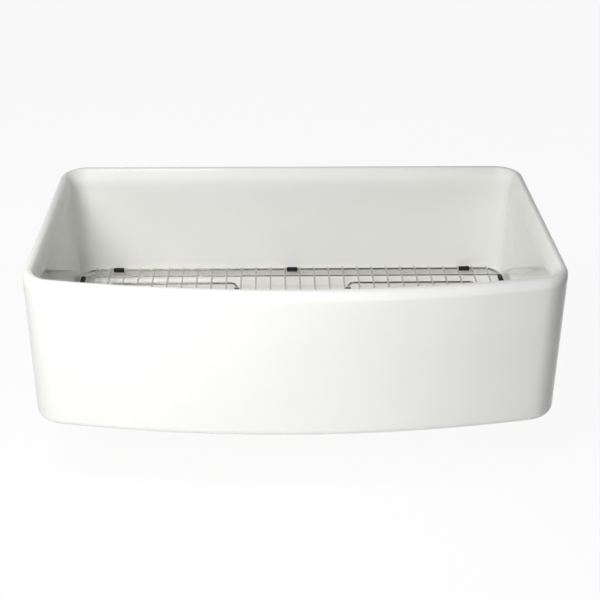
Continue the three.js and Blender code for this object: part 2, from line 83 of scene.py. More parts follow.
rim_low, rim_high = node_box("grid_rim_wire")
GRID_Y = (rim_low[1] + rim_high[1]) / 2
RIM_Z = (rim_low[2] + rim_high[2]) / 2
RIM_RADIUS = 2.5
GRID_HALF_WIDTH = 390.5
GRID_HALF_DEPTH = 200
GRID_CORNER_RADIUS = 28
BAR_RADIUS = 1.6
BAR_COUNT = 28
BAR_PITCH = 27.3
BAR_Z = RIM_Z + RIM_RADIUS + FIT_GAP + BAR_RADIUS
CROSS_RADIUS = 1.5
CROSS_ROWS = (-170, -85, 0, 85, 170)
WELD_DEPTH = 0.4  # the cross wires are sunk into the bars by this
CROSS_Z = BAR_Z - BAR_RADIUS - CROSS_RADIUS + WELD_DEPTH
RING_RADIUS = 64
LEG_RADIUS = 2.25
LEG_BEND = 10
LEG_OUTER_X = 340
LEG_INNER_X = 104
LEG_ROW = 143
LEG_Z = BAR_Z - BAR_RADIUS - FIT_GAP - LEG_RADIUS
SHOE_BOTTOM_Z = 24.3
SHOE_HEIGHT = 22
SHOE_SOLE = 3  # rubber under the end of the wire
SHOE_BORE = LEG_RADIUS + FIT_GAP
SHOE_FOOT_RADIUS = 4.6
SHOE_WIDEST_RADIUS = 5.5
SHOE_TOP_RADIUS = 4.7
BUMPER_LENGTH = 20
BUMPER_RADIUS = 4.5
BUMPER_BORE = RIM_RADIUS + FIT_GAP
BUMPER_X = 12 * BAR_PITCH  # the outer bumpers of the long sides
BUMPER_Y = 158  # the bumpers of the short sides, from the grid's middle

UP = Vector((0, 0, 1))
BACK = Vector((0, 1, 0))


# ---- Materials ----

NOISE_LOW = 0.3  # nearly all values of a noise texture lie between these two
NOISE_HIGH = 0.7
GLAZE_END = 0.0012  # metres above the underside where the glaze ends at the earliest
GLAZE_END_WANDER = 0.003  # metres by which that edge wanders upward


class Recipe:
    """A procedural material: small helpers round its node tree."""

    def __init__(self, name):
        self.material = bpy.data.materials.new(name)
        self.material.use_nodes = True
        self.tree = self.material.node_tree
        self.shader = self.tree.nodes["Principled BSDF"]
        self.place = self.add("ShaderNodeTexCoord").outputs["Object"]

    def add(self, kind, **settings):
        node = self.tree.nodes.new(kind)
        for key, value in settings.items():
            setattr(node, key, value)
        return node

    def join(self, source, target):
        self.tree.links.new(source, target)

    def set(self, **values):
        """Values on the shader's own sockets, their names written with underscores."""
        for key, value in values.items():
            self.shader.inputs[key.replace("_", " ")].default_value = value

    def noise(self, scale, detail=3.0, stretch=None):
        texture = self.add("ShaderNodeTexNoise")
        texture.inputs["Scale"].default_value = scale
        texture.inputs["Detail"].default_value = detail
        place = self.place
        if stretch:
            mapping = self.add("ShaderNodeMapping")
            mapping.inputs["Scale"].default_value = stretch
            self.join(place, mapping.inputs["Vector"])
            place = mapping.outputs["Vector"]
        self.join(place, texture.inputs["Vector"])
        return texture.outputs["Fac"]

    def spots(self, scale, size, share):
        """1 in small spots, 0 elsewhere: one spot in that share of the cells."""
        cells = self.add("ShaderNodeTexVoronoi")
        cells.inputs["Scale"].default_value = scale
        self.join(self.place, cells.inputs["Vector"])
        near = self.math("LESS_THAN", cells.outputs["Distance"], size)
        pick = self.add("ShaderNodeSeparateColor")
        self.join(cells.outputs["Color"], pick.inputs["Color"])
        chosen = self.math("LESS_THAN", pick.outputs["Red"], share)
        return self.math("MULTIPLY", near, chosen)

    def math(self, operation, *values):
        node = self.add("ShaderNodeMath", operation=operation)
        for socket, value in zip(node.inputs, values):
            if isinstance(value, (int, float)):
                socket.default_value = value
            else:
                self.join(value, socket)
        return node.outputs["Value"]

    def spread(self, value, low, high):
        """A noise value stretched to run from low to high."""
        node = self.add("ShaderNodeMapRange")
        self.join(value, node.inputs["Value"])
        ends = {"From Min": NOISE_LOW, "From Max": NOISE_HIGH, "To Min": low, "To Max": high}
        for socket, end in ends.items():
            node.inputs[socket].default_value = end
        return node.outputs["Result"]

    def blend(self, factor, first, second):
        """Mixes two colours, each a tuple or a socket; the factor is a socket."""
        node = self.add("ShaderNodeMix", data_type="RGBA")
        self.join(factor, node.inputs["Factor"])
        for socket, colour in ((node.inputs["A"], first), (node.inputs["B"], second)):
            if isinstance(colour, tuple):
                socket.default_value = (*colour, 1)
            else:
                self.join(colour, socket)
        return node.outputs["Result"]

    def bump(self, *layers):
        """Bumps from (height, depth in metres) layers, one on top of the other."""
        normal = None
        for height, depth in layers:
            node = self.add("ShaderNodeBump")
            node.inputs["Distance"].default_value = depth
            self.join(height, node.inputs["Height"])
            if normal:
                self.join(normal, node.inputs["Normal"])
            normal = node.outputs["Normal"]
        self.join(normal, self.shader.inputs["Normal"])


def glazed_fireclay():
    """White glaze with faint pin-holes; the underside is bare, fired clay."""
    recipe = Recipe("glazed_fireclay")
    clouds = recipe.spread(recipe.noise(9.0), 0, 1)
    glaze = recipe.blend(clouds, (0.91, 0.909, 0.878), (0.93, 0.929, 0.898))
    specks = recipe.spots(95.0, 0.035, 0.35)
    glaze = recipe.blend(recipe.math("MULTIPLY", specks, 0.35), glaze, (0.55, 0.53, 0.48))
    grain = recipe.spread(recipe.noise(420.0, 6.0), 0, 1)
    clay = recipe.blend(grain, (0.70, 0.64, 0.54), (0.80, 0.75, 0.66))
    place = recipe.add("ShaderNodeSeparateXYZ")
    recipe.join(recipe.place, place.inputs["Vector"])
    ragged = recipe.math("MULTIPLY", recipe.noise(60.0), GLAZE_END_WANDER)
    level = recipe.math("SUBTRACT", place.outputs["Z"], ragged)
    bare = recipe.math("LESS_THAN", level, GLAZE_END)
    recipe.join(recipe.blend(bare, glaze, clay), recipe.shader.inputs["Base Color"])
    gloss = recipe.spread(recipe.noise(30.0), 0.07, 0.11)
    rough = recipe.add("ShaderNodeMix", data_type="FLOAT")
    recipe.join(bare, rough.inputs["Factor"])
    recipe.join(gloss, rough.inputs["A"])
    rough.inputs["B"].default_value = 0.85
    recipe.join(rough.outputs["Result"], recipe.shader.inputs["Roughness"])
    recipe.set(IOR=1.5)
    recipe.bump((recipe.noise(14.0, 2.0), 0.0006), (recipe.noise(90.0, 2.0), 0.00003),
                (specks, -0.00008))
    return recipe.material


def bright_steel(name, colour, roughness, scratches):
    """Polished stainless steel with fine scratches along the given stretch."""
    recipe = Recipe(name)
    patches = recipe.spread(recipe.noise(120.0), 0, 1)
    darker = tuple(0.9 * channel for channel in colour)
    recipe.join(recipe.blend(patches, darker, colour), recipe.shader.inputs["Base Color"])
    lines = recipe.noise(1600.0, 4.0, scratches)
    gloss = recipe.spread(lines, 0.8 * roughness, 1.25 * roughness)
    recipe.join(gloss, recipe.shader.inputs["Roughness"])
    recipe.set(Metallic=1.0)
    recipe.bump((lines, 0.00001))
    return recipe.material


def cast_zinc():
    """Grainy, unpolished metal of the nuts."""
    recipe = Recipe("cast_zinc")
    patches = recipe.spread(recipe.noise(180.0, 5.0), 0, 1)
    metal = recipe.blend(patches, (0.42, 0.42, 0.41), (0.56, 0.56, 0.55))
    recipe.join(metal, recipe.shader.inputs["Base Color"])
    grain = recipe.noise(900.0, 5.0)
    recipe.join(recipe.spread(grain, 0.38, 0.55), recipe.shader.inputs["Roughness"])
    recipe.set(Metallic=1.0)
    recipe.bump((grain, 0.00008))
    return recipe.material


def dull(name, dark, light, roughness, grain_scale, depth):
    """Rubber, foam or fibre: a grainy surface between two shades."""
    recipe = Recipe(name)
    patches = recipe.spread(recipe.noise(grain_scale / 4), 0, 1)
    recipe.join(recipe.blend(patches, dark, light), recipe.shader.inputs["Base Color"])
    grain = recipe.noise(grain_scale, 4.0)
    gloss = recipe.spread(grain, roughness - 0.06, roughness + 0.06)
    recipe.join(gloss, recipe.shader.inputs["Roughness"])
    recipe.bump((grain, depth))
    return recipe.material


GLAZE = glazed_fireclay()
WIRE_STEEL = bright_steel("stainless_wire", (0.66, 0.64, 0.59), 0.22, (1, 1, 0.2))
DRAIN_STEEL = bright_steel("polished_stainless", (0.70, 0.70, 0.68), 0.16, (0.1, 0.1, 1))
ZINC = cast_zinc()
RUBBER = dull("black_rubber", (0.006, 0.006, 0.006), (0.011, 0.011, 0.011), 0.55, 700.0,
              0.00004)
FIBRE = dull("red_fibre", (0.20, 0.05, 0.035), (0.27, 0.075, 0.05), 0.75, 900.0, 0.00005)
FOAM = dull("grey_foam", (0.22, 0.22, 0.21), (0.30, 0.30, 0.29), 0.85, 1100.0, 0.0001)


# ---- Mesh helpers ----

END_TAPER = 0.3  # a wire's cut end narrows by this share of its radius, over as long a piece
CREASE = 40  # degrees between faces from which an edge is sharp
FILLET_REACH = 0.49  # a fillet takes less than half of the shorter side at its corner


class Solid:
    """Points in millimetres and faces of one piece, built up from closed parts."""

    def __init__(self):
        self.points = []
        self.faces = []

    def skin(self, rings, looped=False, tips=None):
        """Skin over rings with equal numbers of points; the ends close on tips or middles."""
        start = len(self.points)
        count = len(rings[0])
        for ring in rings:
            self.points.extend(Vector(point) for point in ring)
        bands = len(rings) if looped else len(rings) - 1
        for band in range(bands):
            low = start + band * count
            high = start + (band + 1) % len(rings) * count
            for i in range(count):
                after = (i + 1) % count
                self.faces.append((low + i, low + after, high + after, high + i))
        if not looped:
            first, last = tips or (None, None)
            self.close(range(start, start + count), first, outward=False)
            self.close(range(start + bands * count, start + (bands + 1) * count), last,
                       outward=True)
        return self

    def close(self, ring, middle, outward):
        """Closes a ring of points with a fan of faces round its middle."""
        ring = list(ring)
        if middle is None:
            middle = sum((self.points[i] for i in ring), Vector()) / len(ring)
        self.points.append(Vector(middle))
        tip = len(self.points) - 1
        for i, corner in enumerate(ring):
            after = ring[(i + 1) % len(ring)]
            self.faces.append((tip, corner, after) if outward else (tip, after, corner))

    def wire(self, path, plane_normal, radius, sides=14, looped=False):
        """Round wire along points in one plane, with its cut ends slightly tapered."""
        path = [Vector(point) for point in path]
        radii = [radius] * len(path)
        if not looped:
            for end, inner in ((0, 1), (-1, -2)):
                along = (path[end] - path[inner]).normalized()
                tip = path[end].copy()
                path[end] -= along * END_TAPER * radius
                if end == 0:
                    path.insert(0, tip)
                    radii.insert(0, (1 - END_TAPER) * radius)
                else:
                    path.append(tip)
                    radii.append((1 - END_TAPER) * radius)
        rings = []
        for i, point in enumerate(path):
            before = path[i - 1] if looped or i > 0 else point
            after = path[(i + 1) % len(path)] if looped or i + 1 < len(path) else point
            along = (after - before).normalized()
            across = plane_normal.cross(along)
            angles = [2 * math.pi * s / sides for s in range(sides)]
            rings.append([point + radii[i] * (across * math.cos(a) + plane_normal * math.sin(a))
                          for a in angles])
        return self.skin(rings, looped)

    def revolve(self, profile, steps, reshape=None, centre=(0, 0)):
        """Turns an anticlockwise profile of (radius, z) points about an upright axis.

        A profile that starts on the axis also ends on it; any other closes on itself.
        """
        solid_core = profile[0][0] == 0
        inner = profile[1:-1] if solid_core else profile
        tips = [(*centre, z) for _, z in (profile[0], profile[-1])]
        rings = []
        for radius, z in inner:
            ring = []
            for s in range(steps):
                angle = 2 * math.pi * s / steps
                r = reshape(radius, z, angle) if reshape else radius
                ring.append((centre[0] + r * math.cos(angle), centre[1] + r * math.sin(angle), z))
            rings.append(ring)
        return self.skin(rings, not solid_core, tips)

    def turned(self, matrix):
        """Moves the whole solid by a matrix."""
        self.points = [matrix @ point for point in self.points]
        return self


def piece(name, solid, material, body, slot, *nodes, crease=CREASE):
    """Makes a mesh piece that stands for the named CAD nodes and rides on a body."""
    mesh = bpy.data.meshes.new(name)
    mesh.from_pydata([point * MM for point in solid.points], [], solid.faces)
    mesh.update()
    mesh.materials.append(material)
    mesh.shade_smooth()
    mesh.set_sharp_from_angle(angle=math.radians(crease))
    made = bpy.data.objects.new(name, mesh)
    bpy.context.collection.objects.link(made)
    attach(made, body)
    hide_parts(*nodes)
    return made


def arc(centre_x, centre_y, radius, start, end, steps):
    """Points on an arc, both ends included. Angles in degrees."""
    points = []
    for i in range(steps + 1):
        angle = math.radians(start + (end - start) * i / steps)
        points.append((centre_x + radius * math.cos(angle), centre_y + radius * math.sin(angle)))
    return points


def between(first, second, *shares):
    """Points on the way from first to second."""
    return [tuple(a + (b - a) * share for a, b in zip(first, second)) for share in shares]


def rounded(profile, steps=4):
    """Rounds a profile's corners: each point is (radius, z) or (radius, z, fillet)."""
    result = []
    count = len(profile)
    for i, corner in enumerate(profile):
        here = Vector(corner[:2])
        fillet = corner[2] if len(corner) > 2 else 0
        if not fillet:
            result.append(tuple(here))
            continue
        before = Vector(profile[i - 1][:2]) - here
        after = Vector(profile[(i + 1) % count][:2]) - here
        half = before.angle(after) / 2
        reach = min(fillet / math.tan(half), FILLET_REACH * before.length,
                    FILLET_REACH * after.length)
        start = here + before.normalized() * reach
        end = here + after.normalized() * reach
        for s in range(steps + 1):
            t = s / steps
            result.append(tuple((1 - t) ** 2 * start + 2 * t * (1 - t) * here + t ** 2 * end))
    return result


# ---- Basin ----

REAR_CORNER = 47
FRONT_CORNER = 53
RIM_WALL = 20.5
APRON_EXTRA = 8.5  # the apron is this much thicker than the other walls
NOSE = 7  # radius along the top of the sides and the back
SHOULDER = 55  # radius that leads from the nose down the inside of those walls
SHOULDER_DEPTH = 31
SHOULDER_ROWS = (19, 24, SHOULDER_DEPTH)  # depths of the rows of points below the nose
FOOT_WALL = 22  # thickness of the walls where the cove starts
FOOT_FILLET = 12
COVE = 22
FLOOR_EDGE_Z = 24
FLOOR_CENTRE_Z = 20.5
SEAT_Z = 17
RECESS_RADIUS = 59
BORE_RADIUS = 46
WASHER_SEAT_RADIUS = 66
WASHER_SEAT_Z = 1
RECESS_LIP = 2.5  # fillet where the floor turns down into the drain's recess
RECESS_DRAFT = 0.5  # by which the recess narrows from its lip to its seat
BORE_EDGE = 1  # fillet above and bevel below where the bore meets its seats
EDGE_SHARES = (0.02, 0.1, 0.2, 0.3, 0.4, 0.5, 0.6, 0.7, 0.8, 0.9, 0.98)
BOW_STEPS = 72
CORNER_STEPS = 16
NOSE_STEPS = 20
FOOT_STEPS = 12
COVE_STEPS = 14
BASIN_CREASE = 60  # degrees


def basin_plan(inset, set_back):
    """Plan of the basin at a distance inside its outer face, anticlockwise.

    The apron lies set_back further in than the other walls.
    """
    bow_radius = (HALF_WIDTH ** 2 + BOW ** 2) / (2 * BOW)
    bow_y = bow_radius - BOW + set_back
    front_x = HALF_WIDTH - FRONT_CORNER
    front_y = bow_y - math.sqrt((bow_radius - FRONT_CORNER) ** 2 - front_x ** 2)
    meet = math.degrees(math.atan2(front_y - bow_y, front_x))
    rear_x = HALF_WIDTH - REAR_CORNER
    rear_y = BACK_Y - REAR_CORNER
    front = FRONT_CORNER - inset
    rear = REAR_CORNER - inset
    bow = arc(0, bow_y, bow_radius - inset, -180 - meet, meet, BOW_STEPS)
    front_right = arc(front_x, front_y, front, meet, 0, CORNER_STEPS)[1:]
    rear_right = arc(rear_x, rear_y, rear, 0, 90, CORNER_STEPS)
    rear_left = arc(-rear_x, rear_y, rear, 90, 180, CORNER_STEPS)
    front_left = arc(-front_x, front_y, front, 180, 180 - meet, CORNER_STEPS)[:-1]
    return [
        *bow, *front_right,
        *between(front_right[-1], rear_right[0], *EDGE_SHARES), *rear_right,
        *between(rear_right[-1], rear_left[0], *EDGE_SHARES), *rear_left,
        *between(rear_left[-1], front_left[0], *EDGE_SHARES), *front_left,
    ]


def half_chord(radius, depth):
    """Half the width of a round nose at a depth below its top."""
    return math.sqrt(radius ** 2 - (radius - min(depth, radius)) ** 2)


def rim_points(side):
    """Points from the top of the rim down its outer (-1) or inner (1) side.

    Each is (inset, set back, z). The inset follows the narrow nose and the shoulder of the sides
    and the back; the set back is what the apron's full half-round adds to it.
    """
    apron_nose = (RIM_WALL + APRON_EXTRA) / 2
    points = []
    turns = [math.radians(90 * step / NOSE_STEPS) for step in range(NOSE_STEPS + 1)]
    depths = [apron_nose * (1 - math.cos(turn)) for turn in turns]
    if side > 0:
        depths += SHOULDER_ROWS
    for depth in depths:
        inset = NOSE + side * half_chord(NOSE, depth)
        if side > 0 and depth > NOSE / 2:
            rise = SHOULDER_DEPTH - depth
            inset = RIM_WALL - SHOULDER + math.sqrt(SHOULDER ** 2 - rise ** 2)
        front = apron_nose + side * half_chord(apron_nose, depth)
        points.append((inset, front - inset, HEIGHT - depth))
    return points


def wall_section():
    """Wall from the underside over the rim to the cove's foot, as (inset, set back, z)."""
    foot = [(x, 0, z) for x, z in arc(FOOT_FILLET, FOOT_FILLET, FOOT_FILLET, -90, -180,
                                      FOOT_STEPS)]
    cove = [(x, APRON_EXTRA, z) for x, z in arc(FOOT_WALL + COVE, FLOOR_EDGE_Z + COVE, COVE,
                                                -180, -90, COVE_STEPS)]
    outer = rim_points(-1)[::-1]
    inner = rim_points(1)[1:]
    return [
        *foot, *between(foot[-1], outer[0], 0.01, 0.5, 0.99),
        *outer, *inner, *between(inner[-1], cove[0], 0.01, 0.5, 0.99), *cove,
    ]


def basin():
    """One skin: the underside, the walls, the bowl, its floor and the bore for the drain."""
    rings = [[(x, y, z) for x, y in basin_plan(inset, set_back)]
             for inset, set_back, z in wall_section()]
    floor_edge = rings[-1]
    headings = [math.atan2(y - DRAIN_Y, x) for x, y, _ in floor_edge]
    spans = [math.hypot(x, y - DRAIN_Y) for x, y, _ in floor_edge]

    def drain_ring(radius, z):
        """Level ring round the drain."""
        return [(radius * math.cos(a), DRAIN_Y + radius * math.sin(a), z) for a in headings]

    def floor_ring(radius, drop=0.0):
        """Ring on the floor, which falls evenly from its edge to the drain."""
        fall = FLOOR_EDGE_Z - FLOOR_CENTRE_Z
        return [(radius * math.cos(a), DRAIN_Y + radius * math.sin(a),
                 FLOOR_EDGE_Z - fall * (1 - radius / span) - drop)
                for a, span in zip(headings, spans)]

    mouth = floor_ring(RECESS_RADIUS + 5)
    for share in (0.03, 0.5):
        rings.append(between_rings(floor_edge, mouth, share))
    rings.append(mouth)
    for step in range(7):
        turn = math.radians(15 * step)
        lip_radius = RECESS_RADIUS + RECESS_DRAFT + RECESS_LIP * (1 - math.sin(turn))
        rings.append(floor_ring(lip_radius, RECESS_LIP * (1 - math.cos(turn))))
    rings.append(drain_ring(RECESS_RADIUS, SEAT_Z + 0.6))
    rings.append(drain_ring(RECESS_RADIUS - 0.7, SEAT_Z))
    rings.append(drain_ring(BORE_RADIUS + 1.5, SEAT_Z))
    for step in range(4):
        turn = math.radians(30 * step)
        rings.append(drain_ring(BORE_RADIUS + BORE_EDGE * (1 - math.sin(turn)),
                                SEAT_Z - BORE_EDGE * (1 - math.cos(turn))))
    rings.append(drain_ring(BORE_RADIUS, WASHER_SEAT_Z + BORE_EDGE))
    rings.append(drain_ring(BORE_RADIUS + BORE_EDGE, WASHER_SEAT_Z))
    rings.append(drain_ring(WASHER_SEAT_RADIUS - 0.4, WASHER_SEAT_Z))
    rings.append(drain_ring(WASHER_SEAT_RADIUS, WASHER_SEAT_Z - 0.3))
    seat_edge = drain_ring(WASHER_SEAT_RADIUS + 0.4, 0)
    rings.append(seat_edge)
    rings.append(between_rings(seat_edge, rings[0], 0.5))
    rings.append(between_rings(seat_edge, rings[0], 0.98))
    solid = Solid().skin(rings, looped=True)
    piece("basin_body", solid, GLAZE, "sink", "glazed_fireclay", "basin", crease=BASIN_CREASE)


def between_rings(first, second, share):
    """Ring of points on the way from each of the first ring's to the second's."""
    return [between(a, b, share)[0] for a, b in zip(first, second)]


# ---- Drain ----

CUP_RADIUS = 42.5
CUP_WALL = 2
CUP_BOTTOM_Z = -46.5
CUP_THREAD_TOP_Z = 14
OUTLET_RADIUS = 24
OUTLET_BORE = 18.5
GASKET_HEIGHT = 1.5
FLANGE_RADIUS = 57
THREAD_PITCH = 2.2
THREAD_DEPTH = 0.9
HUB_RADIUS = 6.5  # of the cross in the outlet
HUB_BORE = 4
ARM_RADIUS = 1.5
ARM_LENGTH = 12.5
ARM_FLATNESS = 1.3  # an arm's width to its height
LUG_ANGLE = math.pi / 3  # from one lug of the lock nut to the next
LUG_HALF_WIDTH = math.radians(4.6)
LUG_FLANK = math.radians(0.8)
LUG_HEIGHT = 4
LOCK_NUT_RADIUS = 54
TAIL_BORE = 17.8
TAIL_RADIUS = 19
TAIL_FLANGE_RADIUS = 22.8
TAIL_NUT_BORE = 24.4
TAIL_NUT_FLATS = 58
STEM_BORE = 3.4  # hole for the basket's stem
STEM_NUT_FLATS = 11
HOLE_RADIUS = 1.7
HOLE_ROWS = (-29, -22, -15, -8, -1)  # heights of the rows of holes in the basket's wall
HOLES_IN_ROW = 24
FLOOR_HOLES = ((12, 10), (18.5, 16))  # radius and count of the rings in the basket's floor
ROUND = 96


def lathe(name, profile, material, body, slot, node, reshape=None, steps=ROUND):
    """A turned piece on the drain's axis."""
    solid = Solid().revolve(profile, steps, reshape, (0, DRAIN_Y))
    return piece(name, solid, material, body, slot, node)


def threaded(radius, low, high):
    """Reshapes the wall of that radius into a screw thread between two heights."""
    def reshape(r, z, angle):
        if abs(r - radius) > 0.01 or not low < z < high:
            return r
        turn = (z / THREAD_PITCH - angle / (2 * math.pi)) % 1
        return r - THREAD_DEPTH * abs(2 * turn - 1)
    return reshape


def column(radius, low, high, step=THREAD_PITCH / 6):
    """Points up a wall, close enough to carry a thread."""
    count = round((high - low) / step)
    return [(radius, low + (high - low) * i / count) for i in range(count + 1)]


def strainer_body():
    """Flange on the seat, cup with a screw thread, and threaded outlet."""
    inner = CUP_RADIUS - CUP_WALL
    floor_z = CUP_BOTTOM_Z + CUP_WALL
    flange_z = SEAT_Z + GASKET_HEIGHT + 2 * FIT_GAP
    cup_thread = (CUP_RADIUS, CUP_BOTTOM_Z + 6, CUP_THREAD_TOP_Z)
    outlet_thread = (OUTLET_RADIUS, OUTLET_END_Z + 2, CUP_BOTTOM_Z - 1)
    profile = rounded([
        (OUTLET_BORE, OUTLET_END_Z, 0.5), (OUTLET_RADIUS, OUTLET_END_Z, 0.8),
        *column(*outlet_thread),
        (OUTLET_RADIUS, CUP_BOTTOM_Z, 0.6), (CUP_RADIUS - 4, CUP_BOTTOM_Z, 2),
        (CUP_RADIUS, CUP_BOTTOM_Z + 4, 2),
        *column(*cup_thread),
        (CUP_RADIUS, flange_z, 0.8), (FLANGE_RADIUS - 0.4, flange_z, 0.3),
        (FLANGE_RADIUS, flange_z + 0.5, 0.4), (FLANGE_RADIUS - 2, flange_z + 1.7, 2),
        (FLANGE_RADIUS - 7, flange_z + 2.3, 4), (inner + 4, flange_z + 1.9, 3),
        (inner + 1, flange_z - 0.5, 2), (inner, flange_z - 4, 2),
        (inner, floor_z + 3, 3), (inner - 3, floor_z, 3),
        (OUTLET_BORE + 3.5, floor_z, 1), (OUTLET_BORE, floor_z - 3, 1),
    ], 5)
    screw = threaded(*cup_thread)
    tail_screw = threaded(*outlet_thread)

    def reshape(r, z, angle):
        return tail_screw(r, z, angle) if r <= OUTLET_RADIUS else screw(r, z, angle)

    lathe("strainer_shell", profile, DRAIN_STEEL, "sink", "polished_stainless", "strainer_body",
          reshape, 144)


def strainer_cross():
    """Hub with four round-edged arms that run into the outlet's wall."""
    low, high = node_box("strainer_cross")
    bottom, top = low[2], high[2]
    hub = rounded([(HUB_BORE, bottom, 0.4), (HUB_RADIUS, bottom, 0.6), (HUB_RADIUS, top, 0.6),
                   (HUB_BORE, top, 0.4)])
    solid = Solid().revolve(hub, 48)
    quarter = math.radians(90)
    lay = Matrix.Rotation(quarter, 4, "Y") @ Matrix.Rotation(quarter, 4, "Z")
    out = Matrix.Translation((HUB_RADIUS - FIT_GAP, 0, (bottom + top) / 2))
    for turn in range(4):
        arm = Solid().revolve([(0, 0), (ARM_RADIUS, 0), (ARM_RADIUS, ARM_LENGTH),
                               (0, ARM_LENGTH)], 20)
        arm.turned(Matrix.Diagonal((ARM_FLATNESS, 1, 1, 1)))
        merge(solid, arm.turned(Matrix.Rotation(quarter * turn, 4, "Z") @ out @ lay))
    solid.turned(Matrix.Translation((0, DRAIN_Y, 0)))
    piece("strainer_guide", solid, DRAIN_STEEL, "sink", "polished_stainless", "strainer_cross")


def merge(solid, other):
    """Adds the points and faces of another solid to this one."""
    start = len(solid.points)
    solid.points.extend(other.points)
    solid.faces.extend(tuple(start + i for i in face) for face in other.faces)


def washer(name, node, inner, fillet, material, slot):
    """Flat ring of a node's own outer radius and height."""
    low, high = node_box(node)
    outer = high[0]
    profile = rounded([(inner, low[2], fillet), (outer, low[2], fillet),
                       (outer, high[2], fillet), (inner, high[2], fillet)])
    lathe(name, profile, material, "sink", slot, node)


def lock_nut():
    """Ring nut with six lugs."""
    box_low, box_high = node_box("lock_nut")
    low, high = box_low[2], box_high[2]
    bore = CUP_RADIUS + 0.5

    def reshape(r, z, angle):
        if r < (bore + LOCK_NUT_RADIUS) / 2:
            return r
        off = abs((angle + LUG_ANGLE / 2) % LUG_ANGLE - LUG_ANGLE / 2)
        rise = max(0.0, min(1.0, (LUG_HALF_WIDTH - off) / LUG_FLANK + 0.5))
        return r + LUG_HEIGHT * rise

    profile = rounded([
        (bore, low, 0.4), (LOCK_NUT_RADIUS, low, 1), (LOCK_NUT_RADIUS, high, 1),
        (bore, high, 0.4)])
    lathe("strainer_lock_nut", profile, ZINC, "sink", "cast_zinc", "lock_nut", reshape, 288)


def hexagon(across_flats, low, high):
    """Cuts a round blank to a hexagon whose corners are chamfered at both ends."""
    flat = across_flats / 2
    corner = flat / math.cos(math.pi / 6)
    chamfer_start = 0.25
    chamfer_slope = 1.7

    def reshape(r, z, angle):
        if r < 0.9 * flat:
            return r
        off = angle % (math.pi / 3) - math.pi / 6
        side = flat / math.cos(off)
        from_end = min(z - low, high - z)
        cone = flat + chamfer_start + from_end * chamfer_slope
        return min(side, cone, corner)
    return reshape


def tail_parts():
    """Flanged tailpiece, the washer on it, and the nut that holds both to the outlet."""
    flange_z = TAIL_TOP_Z - 1.5
    tube = rounded([
        (TAIL_BORE, TAIL_END_Z, 0.3), (TAIL_RADIUS, TAIL_END_Z, 0.3),
        (TAIL_RADIUS, flange_z, 0.6), (TAIL_FLANGE_RADIUS, flange_z, 0.4),
        (TAIL_FLANGE_RADIUS, TAIL_TOP_Z, 0.4), (TAIL_BORE, TAIL_TOP_Z, 0.8)])
    lathe("tail_tube", tube, DRAIN_STEEL, "sink", "polished_stainless", "tailpiece")
    washer("tail_washer", "tailpiece_washer", OUTLET_BORE, 0.4, RUBBER, "black_rubber")
    lip_z = flange_z - FIT_GAP
    lip_bore = TAIL_RADIUS + 0.4
    low, high = lip_z - 3, -50
    blank = TAIL_NUT_FLATS / math.sqrt(3)
    profile = rounded([
        (lip_bore, low, 0.4), (blank, low), *column(blank, low + 0.2, high - 0.2, 1.0),
        (blank, high), (TAIL_NUT_BORE, high, 0.5), (TAIL_NUT_BORE, lip_z, 0.4),
        (lip_bore, lip_z, 0.3)])
    lathe("tail_nut", profile, ZINC, "sink", "cast_zinc", "coupling_nut",
          hexagon(TAIL_NUT_FLATS, low, high), 216)


